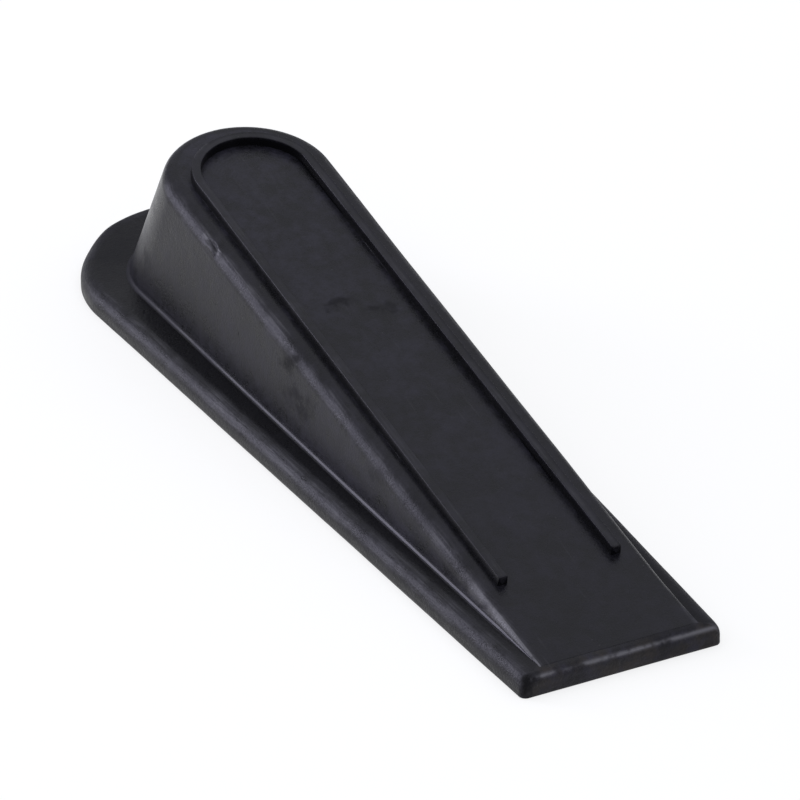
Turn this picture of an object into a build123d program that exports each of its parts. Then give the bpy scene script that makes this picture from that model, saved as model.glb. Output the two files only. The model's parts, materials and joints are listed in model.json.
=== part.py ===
from build123d import *
import math
import os

# A wedge door stop moulded in solid rubber. A flat base plate, round at the heel and narrow at the
# toe, carries a ramp block with sloping sides, and a low U-shaped rim stands on the ramp.
# Frame: millimetres, +Z up, +X towards the thin toe. The origin is on the floor, under the middle
# of the bounding box, and the whole shape is symmetric about the XZ plane.

# Base plate
length = 150.0
heel_width = 44.0
toe_width = 32.0
plate_thickness = 3.6
plate_side_edge_radius = 2.0
plate_toe_edge_radius = 1.2
ramp_toe_margin = 1.6

# Ramp block. Its widths are taken at its foot, on the plate, and its walls lean in from there.
ramp_angle = 10.2
block_heel_margin = 9.2
block_heel_width = 31.4
block_toe_width = 25.2
side_draft_angle = 6.0
heel_lean_angle = 26.7
block_edge_radius = 2.4

# Raised rim, open towards the toe. Its places are measured up the slope from the ramp's toe line.
rim_width = 1.6
rim_height = 1.5
rim_outer_radius = 9.95
rim_open_end = 17.5
rim_arc_centre = 115.7
rim_draft_angle = 6.0
rim_edge_radius = 0.3

# Worked out from the above
heel_x = -length / 2
toe_x = length / 2
ramp_toe_x = toe_x - ramp_toe_margin
side_draft = math.tan(math.radians(side_draft_angle))
heel_lean = math.tan(math.radians(heel_lean_angle))
slope = math.radians(ramp_angle)
ramp_plane = Plane(
    origin=(ramp_toe_x, 0, plate_thickness),
    x_dir=(-math.cos(slope), 0, math.sin(slope)),
    z_dir=(math.sin(slope), 0, math.cos(slope)),
)

os.makedirs("parts", exist_ok=True)


def teardrop(heel, radius, toe_half_width):
    """Draws a closed outline in the BuildLine that calls it: an arc round the heel, whose furthest
    point is at x = heel, and two straight sides tangent to it that run to the square toe."""
    centre = heel + radius
    run = toe_x - centre
    lean = math.asin(radius / math.hypot(run, toe_half_width)) - math.atan2(toe_half_width, run)
    start_x = centre + radius * math.sin(lean)
    start_y = radius * math.cos(lean)
    corners = ((start_x, start_y), (toe_x, toe_half_width), (toe_x, -toe_half_width), (start_x, -start_y))
    return Polyline(*corners), ThreePointArc(corners[3], (heel, 0), corners[0])


# Base plate: its tip follows the ramp down, its side and heel edges have the larger rounding, and
# the outline of the toe face above the floor has the smaller one.
with BuildPart() as base_plate:
    with BuildSketch() as plate_outline:
        with BuildLine():
            add(teardrop(heel_x, heel_width / 2, toe_width / 2))
        make_face()
    extrude(amount=plate_thickness)
    fillet(faces().sort_by(Axis.Z)[-1].edges().sort_by(Axis.X)[:-1], plate_side_edge_radius)
    split(bisect_by=ramp_plane, keep=Keep.BOTTOM)
    fillet(faces().sort_by(Axis.X)[-1].edges().sort_by(Axis.Z)[1:], plate_toe_edge_radius)


# Ramp block: walls lofted between two outlines, one below the plate's top and one above the ramp,
# then cut by the ramp, rounded along the cut, and trimmed to stand on the plate. Starting below the
# plate's top leaves enough wall for the rounding to run out at the toe.
wall_below = 8.0
wall_above = 28.0
with BuildPart() as ramp_block:
    for height in (-wall_below, wall_above):
        inset = side_draft * height
        with BuildSketch(Plane.XY.offset(plate_thickness + height)):
            with BuildLine():
                block_heel = heel_x + block_heel_margin + heel_lean * height
                add(teardrop(block_heel, block_heel_width / 2 - inset, block_toe_width / 2 - inset))
            make_face()
    loft(ruled=True)
    split(bisect_by=ramp_plane, keep=Keep.BOTTOM)
    fillet(faces().filter_by(ramp_plane).edges().sort_by(Axis.X)[:-1], block_edge_radius)
    split(bisect_by=Plane.XY.offset(plate_thickness), keep=Keep.TOP)


# Raised rim: a strip of constant width along a U, square-cut at its two ends. It is built lying flat
# and then laid on the ramp.
with BuildPart() as flat_rim:
    rim_radius = rim_outer_radius - rim_width / 2
    with BuildSketch():
        with BuildLine():
            Line((rim_open_end, rim_radius), (rim_arc_centre, rim_radius))
            ThreePointArc(
                (rim_arc_centre, rim_radius),
                (rim_arc_centre + rim_radius, 0),
                (rim_arc_centre, -rim_radius),
            )
            Line((rim_arc_centre, -rim_radius), (rim_open_end, -rim_radius))
        trace(line_width=rim_width)
    extrude(amount=rim_height, taper=rim_draft_angle)
    fillet(faces().sort_by(Axis.Z)[-1].edges(), rim_edge_radius)
raised_rim = ramp_plane.location * flat_rim.part


base_plate.part.label = "base_plate"
export_step(base_plate.part, "parts/base_plate.step")
ramp_block.part.label = "ramp_block"
export_step(ramp_block.part, "parts/ramp_block.step")
raised_rim.label = "raised_rim"
export_step(raised_rim, "parts/raised_rim.step")
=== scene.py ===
import json
import math
import bmesh
import bpy
import numpy as np
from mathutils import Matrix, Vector, noise


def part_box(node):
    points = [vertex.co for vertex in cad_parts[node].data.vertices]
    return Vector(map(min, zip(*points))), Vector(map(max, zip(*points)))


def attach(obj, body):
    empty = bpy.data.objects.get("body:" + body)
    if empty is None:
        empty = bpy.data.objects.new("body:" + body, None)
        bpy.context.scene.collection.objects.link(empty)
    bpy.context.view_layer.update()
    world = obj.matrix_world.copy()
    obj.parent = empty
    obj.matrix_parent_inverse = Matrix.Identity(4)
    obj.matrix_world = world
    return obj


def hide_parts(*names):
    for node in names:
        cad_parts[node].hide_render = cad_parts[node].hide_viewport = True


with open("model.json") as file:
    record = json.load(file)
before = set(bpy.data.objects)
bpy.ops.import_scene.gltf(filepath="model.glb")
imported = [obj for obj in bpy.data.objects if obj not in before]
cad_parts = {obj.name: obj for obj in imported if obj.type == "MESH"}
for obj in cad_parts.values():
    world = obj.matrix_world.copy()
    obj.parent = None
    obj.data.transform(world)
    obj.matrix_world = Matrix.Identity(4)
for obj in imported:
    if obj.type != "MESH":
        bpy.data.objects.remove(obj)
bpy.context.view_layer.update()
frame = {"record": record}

MM = 0.001


def box_mm(node):
    low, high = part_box(node)
    return np.array(low) / MM, np.array(high) / MM


plate_low, plate_high = box_mm("base_plate")
block_low, block_high = box_mm("ramp_block")
rim_low, rim_high = box_mm("raised_rim")
door_rest = next(m for m in frame["record"]["mounts"] if m["name"] == "door_rest")

# Places and sizes taken from the frame
heel_x, toe_x = plate_low[0], plate_high[0]
plate_top = plate_high[2]
plate_radius = plate_high[1]
block_heel_x, ramp_toe_x = block_low[0], block_high[0]
block_radius = block_high[1]
rim_outer = rim_high[1]
slope = math.atan2(door_rest["axis"][0], door_rest["axis"][2])

# Sizes that a box can't give
toe_half_width = 16.0
toe_bow = 0.05
plate_bulge = 0.08
block_toe_half_width = 12.45
block_far_extra = 0.45
block_bulge = 0.18
side_draft = math.tan(math.radians(6.0))
heel_lean = math.tan(math.radians(26.7))
plate_corner = 1.1
plate_near_edge = 2.5
plate_far_edge = 2.0
plate_heel_edge = 1.1
plate_front_edge = 1.2
block_near_edge = 2.9
block_far_edge = 1.5
block_heel_edge = 1.8
foot_cove = 0.7
rim_width = 1.6
rim_height = 1.5
rim_cove = 0.01
rim_draft = math.tan(math.radians(3.0))
rim_top_edge = 0.15

# How finely the curved strips of a profile are divided
cove_steps = 8
edge_steps = 18


# ---------------------------------------------------------------- outlines

def side_lean(heel, radius, toe, toe_half):
    """Angle between a teardrop's straight side and the X axis."""
    run = toe - heel - radius
    return math.asin(radius / math.hypot(run, toe_half)) - math.atan2(toe_half, run)


def teardrop(heel, radius, toe, toe_half, side_steps, arc_steps):
    """Stations of a teardrop outline from the toe on the -Y side, round the heel, to the toe on the
    +Y side. Gives points, outward normals, and how far up its side each is: 0 at the toe, 1 at the heel."""
    lean = side_lean(heel, radius, toe, toe_half)
    normal = np.array([math.sin(lean), -math.cos(lean)])
    start = np.array([toe, -toe_half])
    centre = np.array([heel + radius, 0])
    end = centre + radius * normal
    up = np.linspace(0, 1, side_steps)[:, None]
    near = start + (end - start) * up
    angles = np.linspace(-math.pi / 2 + lean, -1.5 * math.pi - lean, arc_steps + 2)[1:-1]
    arc_normals = np.stack([np.cos(angles), np.sin(angles)], 1)
    mirror = np.array([1, -1])
    points = np.concatenate([near, centre + radius * arc_normals, near[::-1] * mirror])
    normals = np.concatenate([
        np.repeat(normal[None], side_steps, 0),
        arc_normals,
        np.repeat((normal * mirror)[None], side_steps, 0),
    ])
    share = np.concatenate([up[:, 0], np.ones(arc_steps), up[::-1, 0]])
    return points, normals, share


def plate_ring(side_inset, front_inset, side_steps, arc_steps, corner_steps, front_steps):
    """The plate's outline set in from its sides and heel by one distance and from its toe by another.
    It starts at the -Y toe corner, goes round the heel and comes back along the toe. Also gives how
    much each point belongs to the toe's front edge, from 0 to 1."""
    lean = side_lean(heel_x, plate_radius, toe_x, toe_half_width)
    normal = np.array([math.sin(lean), -math.cos(lean)])
    corner = max(plate_corner - min(side_inset, front_inset), 0.12)
    centre_x = toe_x - front_inset - corner
    centre_y = -toe_half_width + ((front_inset + corner) * normal[0] - side_inset - corner) / normal[1]
    corner_centre = np.array([centre_x, centre_y])
    heel_centre = np.array([heel_x + plate_radius, 0])
    start = corner_centre + corner * normal
    end = heel_centre + (plate_radius - side_inset) * normal
    near = start + (end - start) * np.linspace(0, 1, side_steps)[:, None]
    angles = np.linspace(-math.pi / 2 + lean, -1.5 * math.pi - lean, arc_steps + 2)[1:-1]
    arc = heel_centre + (plate_radius - side_inset) * np.stack([np.cos(angles), np.sin(angles)], 1)
    mirror = np.array([1, -1])
    turns = np.linspace(math.pi / 2 - lean, 0, corner_steps + 1)[1:]
    far_corner = corner_centre * mirror + corner * np.stack([np.cos(turns), np.sin(turns)], 1)
    across = np.linspace(-centre_y, centre_y, front_steps + 2)[1:-1]
    front = np.stack([np.full(front_steps, toe_x - front_inset), across], 1)
    points = np.concatenate([near, arc, near[::-1] * mirror, far_corner, front, far_corner[::-1] * mirror])
    blend = np.linspace(0, 1, corner_steps + 1)[1:]
    toe_share = np.concatenate(
        [np.zeros(2 * side_steps + arc_steps), blend, np.ones(front_steps), blend[::-1]])
    return points, toe_share


# ---------------------------------------------------------------- meshes

def relief(points):
    """Small unevenness of moulded rubber: a slow wave and a finer one, the same for every piece."""
    moved = np.zeros(len(points))
    for i, p in enumerate(points):
        slow = noise.noise(Vector(p) * 0.06)
        fine = noise.noise(Vector(p) * 0.35 + Vector((7.1, 3.3, 9.2)))
        moved[i] = 0.05 * slow + 0.012 * fine
    return moved


def make_piece(name, grid, wrap, track, masks, node):
    """A closed mesh from a grid of points, stations by profile. Its two ends, and the rows that
    run along the middle, close up because their points coincide. Beside the given masks, each point
    keeps how far it lies along the outline, measured on the row called track, and up the profile,
    counted from that row."""
    stations, rows = grid.shape[:2]
    index = np.arange(stations * rows).reshape(stations, rows)
    a = index if wrap else index[:-1]
    b = np.roll(index, -1, 0) if wrap else index[1:]
    quads = np.stack([a[:, :-1], b[:, :-1], b[:, 1:], a[:, 1:]], -1).reshape(-1, 4)
    mesh = bpy.data.meshes.new(name)
    mesh.from_pydata((grid.reshape(-1, 3) * MM).tolist(), [], quads.tolist())
    steps = np.linalg.norm(np.diff(grid[:, track], axis=0), axis=1)
    along = np.tile(np.concatenate([[0], np.cumsum(steps)])[:, None], (1, rows))
    climbs = np.linalg.norm(np.diff(grid, axis=1), axis=2)
    around = np.concatenate([np.zeros((stations, 1)), np.cumsum(climbs, 1)], 1)
    around -= around[:, track:track + 1]
    masks = dict(masks, along=along * MM, around=around * MM)
    for mask, values in masks.items():
        layer = mesh.attributes.new(mask, "FLOAT", "POINT")
        layer.data.foreach_set("value", values.astype(np.float32).ravel())
    edit = bmesh.new()
    edit.from_mesh(mesh)
    bmesh.ops.remove_doubles(edit, verts=edit.verts, dist=0.002 * MM)
    bmesh.ops.dissolve_degenerate(edit, edges=edit.edges, dist=0.001 * MM)
    loose = [v for v in edit.verts if not v.link_faces]
    bmesh.ops.delete(edit, geom=loose, context="VERTS")
    slit = [e for e in edit.edges if e.is_boundary]
    if slit:
        bmesh.ops.holes_fill(edit, edges=slit, sides=0)
    bmesh.ops.recalc_face_normals(edit, faces=edit.faces)
    edit.normal_update()
    moved = relief(np.array([v.co for v in edit.verts]) / MM) * MM
    for v, d in zip(edit.verts, moved):
        v.co += v.normal * d
        v.co.z = max(v.co.z, 0.0)
    for face in edit.faces:
        face.smooth = True
    open_edges = sum(1 for e in edit.edges if len(e.link_faces) != 2)
    print(name, "vertices", len(edit.verts), "faces", len(edit.faces), "open edges", open_edges)
    edit.to_mesh(mesh)
    edit.free()
    piece = bpy.data.objects.new(name, mesh)
    bpy.context.scene.collection.objects.link(piece)
    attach(piece, "root")
    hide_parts(node)
    return piece


def plate_distance(p):
    """How far points lie outside the plate's top, sides and toe, its edges rounded."""
    lean = side_lean(heel_x, plate_radius, toe_x, toe_half_width)
    rel = np.stack([p[:, 0] - heel_x - plate_radius, -np.abs(p[:, 1])], 1)
    up_side = rel @ np.array([math.cos(lean), math.sin(lean)])
    run = (toe_x - heel_x - plate_radius) / math.cos(lean)
    straight = rel @ np.array([math.sin(lean), -math.cos(lean)])
    side = np.where(up_side > 0, straight, np.linalg.norm(rel, axis=1)) - plate_radius
    side -= plate_bulge * np.sin(math.pi * np.clip(up_side / run, 0, 1))
    front = p[:, 0] - toe_x - toe_bow * (1 - np.minimum(np.abs(p[:, 1]) / toe_half_width, 1) ** 2)
    flat = p[:, 2] - plate_top
    ramp = (p[:, 0] - ramp_toe_x) * math.sin(slope) + flat * math.cos(slope)
    top = (flat + ramp + np.hypot(flat - ramp, 0.06) - 0.06) / 2
    nearness = np.clip((-p[:, 1] - 10) / 7, 0, 1)
    far_edge = plate_heel_edge + (plate_far_edge - plate_heel_edge) * np.clip((p[:, 0] + 60) / 60, 0, 1)
    edge = far_edge + (plate_near_edge - far_edge) * nearness ** 2 * (3 - 2 * nearness)

    def round_off(a, b, radius):
        a, b = a + radius, b + radius
        return np.hypot(np.maximum(a, 0), np.maximum(b, 0)) + np.minimum(np.maximum(a, b), 0) - radius

    rise = np.clip((p[:, 2] - 0.8) / 1.4, 0, 1)
    front_edge = plate_corner + (plate_front_edge - plate_corner) * rise ** 2 * (3 - 2 * rise)
    return round_off(round_off(side, top, edge), front, front_edge)


def settle(points):
    """Moves points onto the surface that plate_distance describes."""
    step = 0.001
    for _ in range(8):
        d = plate_distance(points)
        slopes = [(plate_distance(points + step * np.eye(3)[k]) - d) / step for k in range(3)]
        gradient = np.stack(slopes, 1)
        size = np.maximum((gradient ** 2).sum(1), 0.2)
        points = points - gradient * (d / size)[:, None]
    return points


def base_plate():
    """The sole plate. Its profile runs from the middle of the underside out to the edge, up the
    side, round the top edge and back in to the middle."""
    steps = (320, 120, 16, 120)
    _, toe_share = plate_ring(0, 0, *steps)
    edge = plate_near_edge + (plate_front_edge - plate_near_edge) * toe_share
    bottom = 0.15
    # each row: inset or turn, share of the way to the middle, height or share of the side, kind
    profile = [(0.4, share, 0, "under") for share in (1, 0.8, 0.6, 0.4, 0.25, 0.12, 0.05, 0)]
    profile += [(bottom, 0, 0, "under"), (0.3 * bottom, 0, 0.3 * bottom, "under"), (0, 0, bottom, "under")]
    side_row = len(profile)
    outline_row = side_row - 1
    profile += [(0, 0, share, "side") for share in np.linspace(0, 1, 8)[1:-1]]
    profile += [(turn, 0, 0, "edge") for turn in np.linspace(0, math.pi / 2, 15)]
    profile += [(math.pi / 2, share, 0, "edge") for share in (
        0.02, 0.05, 0.08, 0.11, 0.14, 0.17, 0.2, 0.24, 0.28, 0.34, 0.42, 0.6, 0.8, 1)]
    rows = []
    rounding = np.zeros(len(profile))
    low_edge = np.zeros(len(profile))
    for row, (inset, share, z, kind) in enumerate(profile):
        if kind == "edge":
            turn = inset
            ring, _ = plate_ring(
                plate_near_edge * (1 - math.cos(turn)), plate_front_edge * (1 - math.cos(turn)), *steps)
            height = plate_top - edge * (1 - math.sin(turn))
            # The rounding's middle carries pale wear streaks and a painted highlight; on the toe a painted
            # highlight lies low on the front edge
            rounding[row] = math.sin(2 * turn)
            low_edge[row] = math.exp(-((turn - 0.58) / 0.27) ** 2)
        elif kind == "side":
            ring, _ = plate_ring(0, 0, *steps)
            height = bottom + (plate_top - edge - bottom) * z
        else:
            ring, _ = plate_ring(inset, inset, *steps)
            height = np.full(len(ring), float(z))
        spine_x = np.clip(ring[:, 0], heel_x + plate_radius, toe_x - toe_half_width)
        spine = np.stack([spine_x, np.zeros(len(ring))], 1)
        rows.append(np.concatenate([ring + (spine - ring) * share, height[:, None]], 1))
    grid = np.stack(rows, 1)
    moving = grid[:, side_row + 1:-3]
    grid[:, side_row + 1:-3] = settle(moving.reshape(-1, 3)).reshape(moving.shape)
    grid[..., 2] = np.maximum(grid[..., 2], 0)
    outline = grid[:, outline_row]
    far_side = np.clip(outline[:, 1] / 6, 0, 1)
    heel_end = np.clip((-52 - outline[:, 0]) / 12, 0, 1)
    matte = np.maximum(far_side, 0.8 * heel_end)
    above = np.array([0.0 if row[3] == "under" else 1.0 for row in profile])
    masks = {
        # Pale wear streaks and a painted highlight halfway round the rounded edge, and low on the toe's
        # front edge
        "edge_wear_and_highlight": rounding * (1 - toe_share[:, None]) + low_edge * toe_share[:, None],
        # Cloudy film, partly bloom and partly painted light: little on the flange's flat top, which is
        # painted darker, more on the toe and on the rounding
        "bloom_and_painted_light": (0.08 + 0.82 * toe_share)[:, None] + 0.65 * rounding[None],
        "matte": matte[:, None] * above[None],
        "foot_gloss": np.zeros(grid.shape[:2]),
        "toe_front": np.tile(toe_share[:, None], (1, len(profile))),
    }
    return make_piece("sole_plate", grid, True, outline_row, masks, "base_plate")


def conic(start, corner, end, weight, steps):
    """Points of a rational quadratic curve, one curve per station, steps + 1 points each."""
    t = np.linspace(0, 1, steps + 1)[None, :, None]
    a, b, c = (1 - t) ** 2, 2 * t * (1 - t) * weight[:, None, None], t ** 2
    return (a * start[:, None] + b * corner[:, None] + c * end[:, None]) / (a + b + c)


def nick(grid):
    """A small curved cut with raised lips in the near upper edge."""
    centre = np.array([-28.8, -12.9, 21.3])
    along = np.array([0.984, 0.0, -0.178])
    down = np.array([-0.12, -0.76, -0.64])
    outward = np.cross(down, along)
    outward *= np.sign(-outward[1])
    rel = grid - centre
    u = rel @ along
    v = rel @ down - 0.16 * u ** 2
    reach = np.clip(1.25 - np.abs(u) / 1.9, 0, 1) * (np.abs(rel @ outward) < 2.0)
    push = -0.50 * np.exp(-(v / 0.24) ** 2)
    push += 0.22 * np.exp(-((v - 0.62) / 0.34) ** 2) + 0.10 * np.exp(-((v + 0.6) / 0.34) ** 2)
    return grid + outward * (push * reach ** 1.5)[..., None]


def ramp_block():
    """The ramp. At each station round its foot a profile climbs the wall, rounds the top edge and
    runs in to the middle; underneath, it runs back in to the same line."""
    side_steps, arc_steps = 460, 110
    points, normals, share = teardrop(
        block_heel_x, block_radius, ramp_toe_x, block_toe_half_width, side_steps, arc_steps)
    count = len(points)
    far = points[:, 1] > 0
    widen = block_bulge * np.sin(math.pi * share) + np.where(far, block_far_extra * (1 - share) ** 2, 0)
    points = points + normals * widen[:, None]
    lean_x = (heel_lean - side_draft) * share
    foot = np.concatenate([points, np.full((count, 1), plate_top)], 1)
    wall = np.stack([
        lean_x - side_draft * normals[:, 0], -side_draft * normals[:, 1], np.ones(count)], 1)
    tangent = math.tan(slope)
    height = (ramp_toe_x - points[:, 0]) * tangent / (1 + wall[:, 0] * tangent)
    corner = foot + wall * height[:, None]
    inward = np.concatenate([-normals, normals[:, :1] * tangent], 1)
    unit_wall = wall / np.linalg.norm(wall, axis=1)[:, None]
    unit_in = inward / np.linalg.norm(inward, axis=1)[:, None]
    turn = np.arccos(np.clip((unit_wall * unit_in).sum(1), -1, 1))
    heelness = np.clip(-normals[:, 0], 0, 1)
    far_edge = block_far_edge + (block_near_edge - block_far_edge) * share ** 2 * (3 - 2 * share)
    side_edge = np.where(far, far_edge, block_near_edge)
    heel_edge = block_heel_edge + 0.6 * normals[:, 1]
    edge = side_edge + (heel_edge - side_edge) * heelness
    reach = edge * np.tan(turn / 2)
    wall_length = height * np.linalg.norm(wall, axis=1)
    cove = np.minimum(foot_cove, 0.35 * height)
    down = np.minimum(reach, wall_length - cove)
    across = np.minimum(reach, 1.0 + 0.45 * height)
    edge_start = corner - unit_wall * down[:, None]
    edge_end = corner + unit_in * across[:, None]
    sink = np.array([0, 0, -0.03])
    cove_start = foot + np.concatenate([normals, np.zeros((count, 1))], 1) * cove[:, None] + sink
    cove_end = foot + unit_wall * cove[:, None]
    cove_curve = conic(cove_start, foot + sink, cove_end, np.full(count, 0.72), cove_steps)
    wall_steps = np.linspace(0, 1, 31)[None, 1:-1, None]
    wall_rows = cove_end[:, None] + (edge_start - cove_end)[:, None] * wall_steps
    edge_curve = conic(edge_start, corner, edge_end, np.cos(turn / 2), edge_steps)
    spine_x = np.maximum(edge_end[:, 0], edge_end[side_steps - 1, 0])
    spine_x = (spine_x + spine_x[::-1]) / 2
    spine = np.stack([
        spine_x, np.zeros(count), plate_top + (ramp_toe_x - spine_x) * tangent], 1)
    top_steps = np.linspace(0, 1, 45)[None, 1:, None]
    top_rows = edge_end[:, None] + (spine - edge_end)[:, None] * top_steps
    under_spine = spine.copy()
    under_spine[:, 2] = plate_top + sink[2]
    under_steps = np.array([1, 0.7, 0.4])[None, :, None]
    under_rows = cove_start[:, None] + (under_spine - cove_start)[:, None] * under_steps
    parts = [under_rows, cove_curve, wall_rows, edge_curve, top_rows]
    grid = np.concatenate(parts, 1)
    cove_row = under_rows.shape[1]
    wall_row = cove_row + cove_curve.shape[1]
    edge_row = wall_row + wall_rows.shape[1]
    top_row = edge_row + edge_curve.shape[1]
    over_edge = np.linspace(0, 1, edge_steps + 1)
    edge_mask = np.zeros(grid.shape[:2])
    # Pale wear streaks and a painted highlight, low on the rounded top edge
    edge_mask[:, edge_row:top_row] = np.exp(-((over_edge - 0.38) / 0.28) ** 2)
    cove_mask = np.zeros(grid.shape[:2])
    cove_mask[:, cove_row:wall_row] = (0.2 + 2.0 * (1 - share))[:, None]
    # Cloudy film, partly bloom and partly painted light and shade: on the top brighter towards the heel, on
    # the foot and wall brighter towards the toe, on the rounded edge brighter on its wall side and darker
    # towards the top
    bloom_and_painted_light = 0.45 + 0.80 * (ramp_toe_x - grid[..., 0]) / (ramp_toe_x - block_heel_x)
    bloom_and_painted_light[:, cove_row:edge_row] = (0.72 + 0.55 * (1 - share))[:, None]
    bloom_and_painted_light[:, edge_row:top_row] = 1.0 - 0.55 * over_edge
    matte = np.clip(grid[..., 1] / 6, 0, 1) * edge_mask * np.sqrt(share)[:, None]
    matte[:, cove_row:wall_row] = 0.6 * share[:, None] ** 3
    # A painted highlight on the near wall's end at the toe
    toe_end = np.clip((points[:, 0] - 46) / 16, 0, 1) * (points[:, 1] < 0)
    toe_mask = np.zeros(grid.shape[:2])
    toe_mask[:, wall_row:edge_row + edge_steps // 2] = toe_end[:, None]
    edge_mask = np.maximum(edge_mask, toe_mask)
    masks = {
        "edge_wear_and_highlight": edge_mask,
        "bloom_and_painted_light": bloom_and_painted_light,
        "matte": matte,
        "foot_gloss": cove_mask,
        "toe_front": toe_mask,
    }
    grid = nick(grid)
    return make_piece("ramp_body", grid, False, edge_row, masks, "ramp_block")


def raised_rim():
    """The low rim: a strip with sloping sides and rounded top edges, swept along a U on the ramp."""
    x_dir = np.array([-math.cos(slope), 0, math.sin(slope)])
    z_dir = np.array([math.sin(slope), 0, math.cos(slope)])
    origin = np.array([ramp_toe_x, 0, plate_top])
    radius = rim_outer - rim_width / 2
    open_end = (ramp_toe_x - rim_high[0]) / math.cos(slope)
    arc_centre = (ramp_toe_x - rim_low[0]) / math.cos(slope) - rim_outer
    leg_steps, arc_steps = 260, 80
    leg = np.linspace(open_end, arc_centre, leg_steps)
    angles = np.linspace(-math.pi / 2, math.pi / 2, arc_steps + 2)[1:-1]
    path = np.concatenate([
        np.stack([leg, np.full(leg_steps, -radius)], 1),
        np.stack([arc_centre + radius * np.cos(angles), radius * np.sin(angles)], 1),
        np.stack([leg[::-1], np.full(leg_steps, radius)], 1),
    ])
    out = np.concatenate([
        np.tile([0.0, -1.0], (leg_steps, 1)),
        np.stack([np.cos(angles), np.sin(angles)], 1),
        np.tile([0.0, 1.0], (leg_steps, 1)),
    ])
    half = rim_width / 2
    edge, cove = rim_top_edge, rim_cove
    # one half of the cross-section, from its foot, which is sunk a little into the ramp, to its top
    turns = np.linspace(0, math.pi / 2, 6)
    section = [(half + cove, -0.04)]
    for turn in turns:
        section.append((half + cove * (1 - math.sin(turn)), cove * (1 - math.cos(turn)) - 0.02))
    for z in (0.4, 0.6, 0.8, 1.0):
        section.append((half - rim_draft * z, z))
    top_half = half - rim_draft * rim_height
    for turn in turns:
        section.append((top_half - edge * (1 - math.cos(turn)), rim_height - edge * (1 - math.sin(turn))))
    section += [(0.25, rim_height), (0, rim_height)]
    section += [(-s, z) for s, z in section[-2::-1]]
    section = np.array([(0, -0.1)] + section + [(0, -0.1)])
    across = path[:, None] + out[:, None] * section[None, :, :1]
    high = np.broadcast_to(section[None, :, 1], across.shape[:2])
    # square-cut ends, closed by shrinking the section onto its middle
    caps = ((0.12, 1.0), (0.04, 0.98), (0.0, 0.94), (0.0, 0.7), (0.0, 0.3), (0.0, 0.0))
    middle = np.array([0, 0.15])
    first, last = [], []
    for shift, share in caps[::-1]:
        shrunk = middle + (section - middle) * share
        along = open_end + shift
        for end, sign in ((first, -1), (last, 1)):
            ring = np.stack([np.full(len(section), along), sign * radius + sign * shrunk[:, 0]], 1)
            end.append(np.concatenate([ring, shrunk[:, 1:]], 1))
    body = np.concatenate([across, high[..., None]], 2)[1:-1]
    local = np.concatenate([np.array(first), body, np.array(last[::-1])], 0)
    grid = origin + local[..., :1] * x_dir + local[..., 1:2] * np.array([0, 1, 0]) + local[..., 2:] * z_dir
    zero = np.zeros(grid.shape[:2])
    matte = np.clip(section[:, 0] / 0.6, 0, 1)[None] + zero
    masks = {
        # The rim's top edge is paler and has more film: partly wear and bloom, partly painted highlight
        "edge_wear_and_highlight": zero + (section[:, 1] > rim_height - edge)[None] * 0.3,
        "bloom_and_painted_light": zero + (section[:, 1] > rim_height - edge - 0.02)[None] * 0.65,
        "matte": np.where(grid[..., 1] < -4, 0, matte),
        "foot_gloss": zero,
        "toe_front": zero,
    }
    return make_piece("rim_strip", grid, False, 0, masks, "raised_rim")


# ---------------------------------------------------------------- materials

DARK = (0.0026, 0.0026, 0.0034, 1)
# Colour of the cloudy film, which is partly real bloom and partly painted light and shade
BLOOM_AND_PAINTED_LIGHT = (0.0180, 0.0172, 0.0262, 1)
WARM = (0.0230, 0.0190, 0.0165, 1)
# Pale colour of scuffs, scratches and dust, also used for painted highlights on the rounded edges and at the
# toe
SCUFF_AND_HIGHLIGHT = (0.110, 0.108, 0.120, 1)
# Dark colour of smudges, also used for painted shade
SMUDGE_AND_SHADE = (0.0016, 0.0016, 0.0020, 1)

# Specks of dust: cells per metre, which cells have one, inner and outer size in cells, strength
DUST = ((330.0, 0.93, 0.03, 0.07, 0.5), (800.0, 0.86, 0.05, 0.12, 0.16))


def add_node(tree, kind, inputs, **settings):
    node = tree.nodes.new(kind)
    for key, value in settings.items():
        setattr(node, key, value)
    for key, value in inputs.items():
        if isinstance(value, bpy.types.NodeSocket):
            tree.links.new(value, node.inputs[key])
        else:
            node.inputs[key].default_value = value
    return node


def calc(tree, operation, a, b=0.0):
    return add_node(tree, "ShaderNodeMath", {0: a, 1: b}, operation=operation).outputs[0]


def remap(tree, value, low, high, to_low=0.0, to_high=1.0):
    inputs = {"Value": value, "From Min": low, "From Max": high, "To Min": to_low, "To Max": to_high}
    return add_node(tree, "ShaderNodeMapRange", inputs, interpolation_type="SMOOTHSTEP").outputs[0]


def field(tree, vector, scale, detail=3.0, roughness=0.55):
    inputs = {"Vector": vector, "Scale": scale, "Detail": detail, "Roughness": roughness}
    return add_node(tree, "ShaderNodeTexNoise", inputs).outputs["Fac"]


def blend_colour(tree, share, a, b):
    return add_node(tree, "ShaderNodeMix", {0: share, 6: a, 7: b}, data_type="RGBA").outputs[2]


def mask(tree, name):
    return add_node(tree, "ShaderNodeAttribute", {}, attribute_name=name).outputs["Fac"]


def spot(tree, vector, centre, size):
    """A soft-edged patch: 1 in its middle, 0 outside the ellipsoid of half sizes `size` in mm."""
    shift = add_node(
        tree, "ShaderNodeVectorMath", {0: vector, 1: [c * MM for c in centre]}, operation="SUBTRACT")
    scale = add_node(
        tree, "ShaderNodeVectorMath", {0: shift.outputs[0], 1: [1 / (s * MM) for s in size]},
        operation="MULTIPLY")
    length = add_node(tree, "ShaderNodeVectorMath", {0: scale.outputs[0]}, operation="LENGTH")
    return remap(tree, length.outputs["Value"], 0.35, 1.0, 1.0, 0.0)


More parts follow.
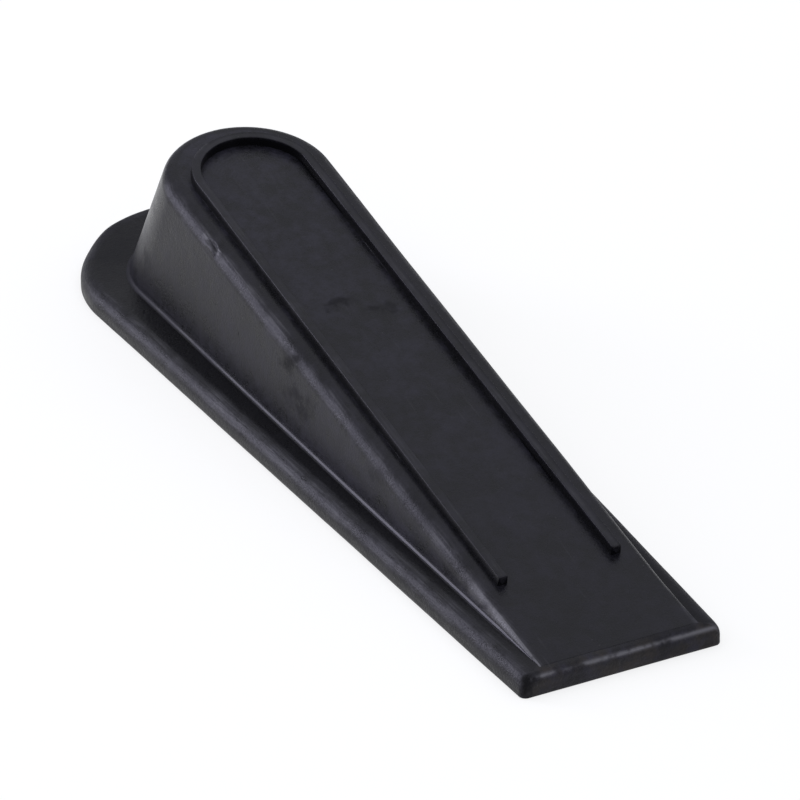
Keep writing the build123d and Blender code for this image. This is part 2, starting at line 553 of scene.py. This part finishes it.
def rubber(name, relief_strength, scuffs_and_highlights, smudges_and_shade):
    """Moulded black rubber: a cloudy film, partly bloom and partly painted light and shade, and fine grain
    all over;
    pale streaks along the edges, partly wear and partly painted highlight; a few specks of dust, glossier in
    the creases. Scuffs are paler patches, some real scuffs and some painted highlights; smudges are darker
    patches, some real smudges and some painted shade. Both are (centre, half size, strength), in mm.
    relief_strength is how much of the grain shows as relief."""
    material = bpy.data.materials.new(name)
    material.use_nodes = True
    tree = material.node_tree
    shader = tree.nodes["Principled BSDF"]
    coords = add_node(tree, "ShaderNodeTexCoord", {}).outputs["Object"]
    edge, crease, front = mask(tree, "edge_wear_and_highlight"), mask(tree, "foot_gloss"), mask(tree, "toe_front")
    cloud = field(tree, coords, 75, 4)
    mottle = field(tree, coords, 420, 5, 0.7)
    grain = field(tree, coords, 2600, 3, 0.7)
    run = add_node(tree, "ShaderNodeCombineXYZ", {
        "X": calc(tree, "MULTIPLY", mask(tree, "along"), 110),
        "Y": calc(tree, "MULTIPLY", mask(tree, "around"), 2600),
    }).outputs[0]
    streak = field(tree, run, 1.0, 5, 0.65)
    patch = field(tree, coords, 150, 4, 0.6)
    both = calc(tree, "ADD", calc(tree, "MULTIPLY", cloud, 0.35), calc(tree, "MULTIPLY", mottle, 0.65))
    both = calc(tree, "ADD", both, calc(tree, "MULTIPLY", calc(tree, "SUBTRACT", grain, 0.5), 0.2))
    # The film, from its per-region amount: partly bloom, partly painted light and shade
    bloom_and_painted_light = calc(tree, "MULTIPLY", remap(tree, both, 0.35, 0.67), mask(tree, "bloom_and_painted_light"))
    bloom_and_painted_light = calc(tree, "MULTIPLY", bloom_and_painted_light, remap(tree, patch, 0.34, 0.60, 0.70, 0.94))
    turned = add_node(tree, "ShaderNodeMapping", {
        "Vector": coords, "Rotation": (0, 0, 0.55), "Scale": (22, 1100, 300)}).outputs[0]
    scratch = remap(tree, field(tree, turned, 1.0, 2), 0.66, 0.72, 0.0, 0.05)

    # Pale marks: wear streaks, scratches, scuffs and dust, with painted highlights on the rounded edges, the
    # toe's front edge and the near wall's toe end
    pale_marks_and_highlight = calc(tree, "MULTIPLY", remap(tree, streak, 0.42, 0.72), remap(tree, patch, 0.36, 0.62))
    pale_marks_and_highlight = calc(tree, "ADD", calc(tree, "MULTIPLY", pale_marks_and_highlight, 0.54), remap(tree, patch, 0.3, 0.6, 0.01, 0.08))
    pale_marks_and_highlight = calc(tree, "MULTIPLY", pale_marks_and_highlight, calc(tree, "MULTIPLY", edge, calc(
        tree, "SUBTRACT", 1.0, calc(tree, "MULTIPLY", mask(tree, "matte"), 0.7))))
    pale_marks_and_highlight = calc(tree, "ADD", pale_marks_and_highlight, scratch)
    # A broken painted highlight along the toe's front edge
    broken = remap(tree, patch, 0.42, 0.55, 0.06, 1.0)
    front_wear_and_highlight = calc(tree, "MULTIPLY", calc(tree, "MULTIPLY", front, edge), broken)
    pale_marks_and_highlight = calc(tree, "ADD", pale_marks_and_highlight, calc(tree, "MULTIPLY", front_wear_and_highlight, 0.95))
    ragged = remap(tree, streak, 0.38, 0.62, 0.1, 1.0)
    drift = add_node(tree, "ShaderNodeTexNoise", {"Vector": coords, "Scale": 380.0, "Detail": 2.0})
    drift = add_node(tree, "ShaderNodeVectorMath", {
        0: drift.outputs["Color"], 1: (0.5, 0.5, 0.5)}, operation="SUBTRACT").outputs[0]
    drifted = add_node(tree, "ShaderNodeVectorMath", {
        0: drift, 1: (0.0055, 0.0055, 0.0055), 2: coords}, operation="MULTIPLY_ADD").outputs[0]
    # Scuff patches, some of them painted highlights
    for centre, size, strength in scuffs_and_highlights:
        patch_mask = calc(tree, "MULTIPLY", spot(tree, coords, centre, size), ragged)
        pale_marks_and_highlight = calc(tree, "ADD", pale_marks_and_highlight, calc(tree, "MULTIPLY", patch_mask, strength))
    for scale, cut, inner, outer, strength in DUST:
        cells = add_node(tree, "ShaderNodeTexVoronoi", {"Vector": coords, "Scale": scale})
        chosen = calc(tree, "GREATER_THAN", add_node(
            tree, "ShaderNodeSeparateColor", {0: cells.outputs["Color"]}).outputs[0], cut)
        dust = calc(tree, "MULTIPLY", remap(tree, cells.outputs["Distance"], inner, outer, 1.0, 0.0), chosen)
        pale_marks_and_highlight = calc(tree, "ADD", pale_marks_and_highlight, calc(tree, "MULTIPLY", dust, strength))
    pale_marks_and_highlight = calc(tree, "MINIMUM", pale_marks_and_highlight, 1.0)

    tint = remap(tree, field(tree, coords, 240, 3), 0.42, 0.60)
    tint = calc(tree, "MULTIPLY", tint, calc(tree, "MAXIMUM", front, 0.06))
    colour = blend_colour(tree, bloom_and_painted_light, DARK, blend_colour(tree, tint, BLOOM_AND_PAINTED_LIGHT, WARM))
    colour = blend_colour(tree, pale_marks_and_highlight, colour, SCUFF_AND_HIGHLIGHT)
    dull = None
    # Smudge patches, some of them painted shade
    for centre, size, strength in smudges_and_shade:
        patch_mask = calc(tree, "MULTIPLY", spot(tree, drifted, centre, size), remap(tree, mottle, 0.3, 0.5))
        patch_mask = calc(tree, "MULTIPLY", patch_mask, strength)
        colour = blend_colour(tree, patch_mask, colour, SMUDGE_AND_SHADE)
        dull = patch_mask if dull is None else calc(tree, "MAXIMUM", dull, patch_mask)
    tree.links.new(colour, shader.inputs["Base Color"])

    rough = remap(tree, both, 0.30, 0.70, 0.24, 0.38)
    rough = calc(tree, "ADD", rough, calc(
        tree, "MULTIPLY", edge, remap(tree, streak, 0.3, 0.7, -0.05, 0.10)))
    rough = calc(tree, "SUBTRACT", rough, calc(tree, "MULTIPLY", crease, 0.10))
    rough = calc(tree, "MAXIMUM", rough, 0.10)
    rough = calc(tree, "ADD", rough, calc(tree, "MULTIPLY", mask(tree, "matte"), 0.25))
    if dull is not None:
        rough = calc(tree, "ADD", rough, calc(tree, "MULTIPLY", dull, 0.35))
    tree.links.new(rough, shader.inputs["Roughness"])
    shader.inputs["Specular IOR Level"].default_value = 0.19
    shader.inputs["Specular Tint"].default_value = (0.93, 0.915, 1.0, 1)

    surface = calc(tree, "ADD", grain, calc(tree, "MULTIPLY", mottle, 1.6))
    surface = calc(tree, "ADD", surface, calc(tree, "MULTIPLY", calc(tree, "MULTIPLY", streak, edge), 0.5))
    smooth = calc(tree, "SUBTRACT", 1.0, calc(tree, "MULTIPLY", crease, 5.0))
    smooth = calc(tree, "MAXIMUM", smooth, 0.0)
    surface = calc(tree, "MULTIPLY", surface, smooth)
    bump = add_node(tree, "ShaderNodeBump", {
        "Height": surface, "Strength": relief_strength, "Distance": 0.00010})
    tree.links.new(bump.outputs["Normal"], shader.inputs["Normal"])
    return material


# ---------------------------------------------------------------- stage

def aim(thing, target):
    thing.rotation_mode = "QUATERNION"
    thing.rotation_quaternion = (Vector(target) - thing.location).to_track_quat("-Z", "Y")


def direction(azimuth, elevation):
    """Unit vector towards a place, its azimuth counted from +X."""
    a, e = math.radians(azimuth), math.radians(elevation)
    return Vector((math.cos(a) * math.cos(e), math.sin(a) * math.cos(e), math.sin(e)))


def camera():
    data = bpy.data.cameras.new("camera")
    data.sensor_width = 36
    data.lens = 273.4
    data.clip_start = 0.01
    data.clip_end = 20
    thing = bpy.data.objects.new("camera", data)
    bpy.context.scene.collection.objects.link(thing)
    target = Vector((3.939, 1.724, 7.248)) * MM
    thing.location = target + direction(-27.39, 29.76) * 0.9
    aim(thing, target)
    bpy.context.scene.camera = thing


def softbox(name, azimuth, elevation, distance, size, power):
    data = bpy.data.lights.new(name, "AREA")
    data.shape = "RECTANGLE"
    data.size, data.size_y = size
    data.energy = power
    data.color = (0.85, 0.84, 1.0)
    thing = bpy.data.objects.new(name, data)
    bpy.context.scene.collection.objects.link(thing)
    thing.location = direction(azimuth, elevation) * distance
    aim(thing, (0, 0, 0.01))
    thing.visible_camera = False


def sky():
    """A soft studio surround, dimmer near the horizon than overhead."""
    world = bpy.data.worlds.new("studio")
    world.use_nodes = True
    tree = world.node_tree
    ways = add_node(tree, "ShaderNodeTexCoord", {}).outputs["Generated"]
    up = add_node(tree, "ShaderNodeSeparateXYZ", {0: ways}).outputs["Z"]
    ramp = add_node(tree, "ShaderNodeValToRGB", {0: up})
    levels = ((0.0, 0.30), (0.5, 0.45), (0.66, 1.02), (0.9, 1.10))
    while len(ramp.color_ramp.elements) < len(levels):
        ramp.color_ramp.elements.new(0.5)
    for element, (place, level) in zip(ramp.color_ramp.elements, levels):
        element.position = place
        element.color = (level * 1.0, level * 1.018, level * 1.08, 1)
    background = tree.nodes["Background"]
    tree.links.new(ramp.outputs["Color"], background.inputs["Color"])
    bpy.context.scene.world = world


def stage():
    floor_mesh = bpy.data.meshes.new("floor")
    side = 3.0
    floor_mesh.from_pydata(
        [(-side, -side, 0), (side, -side, 0), (side, side, 0), (-side, side, 0)], [], [(0, 1, 2, 3)])
    floor = bpy.data.objects.new("floor", floor_mesh)
    bpy.context.scene.collection.objects.link(floor)
    paint = bpy.data.materials.new("floor_paint")
    paint.use_nodes = True
    shader = paint.node_tree.nodes["Principled BSDF"]
    shader.inputs["Base Color"].default_value = (0.3, 0.3, 0.3, 1)
    shader.inputs["Roughness"].default_value = 0.9
    shader.inputs["Specular IOR Level"].default_value = 0.0
    shader.inputs["Emission Color"].default_value = (1, 1, 1, 1)
    shader.inputs["Emission Strength"].default_value = 0.72
    floor_mesh.materials.append(paint)
    sky()
    softbox("left_box", 222, 16, 0.9, (0.32, 0.50), 3.15)
    softbox("right_strip", 24, 8, 0.9, (0.40, 0.16), 0.40)
    bpy.context.scene.view_settings.view_transform = "Standard"


# What marks each piece: (centre, half size, strength), in mm. Scuffs are paler: some real scuffs, some
# painted highlights along the near rounded edges and at the toe. Smudges are darker: some real smudges, some
# painted shade, as at the toe's near corner and in the nick.
plate_scuffs_and_highlights = [
    ((-4.8, -20.9, 2.9), (3.0, 1.2, 1.4), 0.30),
    ((16.5, -21.0, 2.9), (4.5, 1.0, 1.2), 0.22),
    ((-11.6, -20.8, 3.2), (0.8, 0.5, 0.8), 0.6),
    ((-13.0, -19.5, 3.3), (6.0, 2.0, 1.0), 0.10),
    ((5.0, -19.7, 3.0), (70.0, 2.0, 1.1), 0.14),
]
plate_smudges_and_shade = [
    ((-8.5, -21.6, 2.2), (3.5, 1.2, 1.6), 0.7),
    ((75.0, -15.3, 1.6), (2.2, 1.7, 2.8), 1.0),
]
block_scuffs_and_highlights = [
    ((-31.3, -13.0, 21.8), (1.3, 0.6, 0.7), 0.7),
    ((-27.1, -13.0, 21.0), (1.1, 0.6, 0.7), 0.9),
    ((-23.0, -12.6, 20.2), (5.0, 0.8, 1.3), 0.45),
    ((-16.0, -12.4, 19.1), (5.0, 0.8, 1.2), 0.34),
    ((-8.0, -12.3, 17.7), (5.0, 0.8, 1.2), 0.18),
    ((-36.0, -13.0, 22.6), (5.0, 0.9, 1.3), 0.15),
    ((-46.0, 0.0, 25.5), (22.0, 8.5, 5.0), 0.055),
    ((66.0, -12.4, 4.3), (9.0, 0.9, 1.4), 0.30),
]
block_smudges_and_shade = [
    ((-8.7, -2.3, 18.5), (1.8, 3.6, 1.6), 0.75),
    ((-5.1, 3.1, 17.8), (1.9, 3.0, 1.6), 0.6),
    ((-29.2, -13.2, 21.4), (1.0, 0.7, 0.7), 0.9),
    ((-2.1, -13.3, 14.3), (3.6, 1.6, 2.8), 0.85),
    ((1.5, -13.7, 9.9), (6.5, 1.6, 3.2), 0.6),
    ((-48.7, -15.1, 9.2), (3.0, 2.2, 3.2), 0.4),
    ((-17.8, -14.0, 11.3), (0.7, 0.7, 0.9), 0.8),
    ((26.0, -13.0, 10.0), (4.0, 1.5, 1.8), 0.35),
]

camera()
stage()
# Each piece's relief strength, scuffs (some painted highlights) and smudges (some painted shade)
marks = {
    "sole_plate": (0.7, plate_scuffs_and_highlights, plate_smudges_and_shade),
    "ramp_body": (0.45, block_scuffs_and_highlights, block_smudges_and_shade),
    "rim_strip": (0.1, [], []),
}
for piece in (base_plate(), ramp_block(), raised_rim()):
    piece.data.materials.append(rubber(piece.name + "_rubber", *marks[piece.name]))
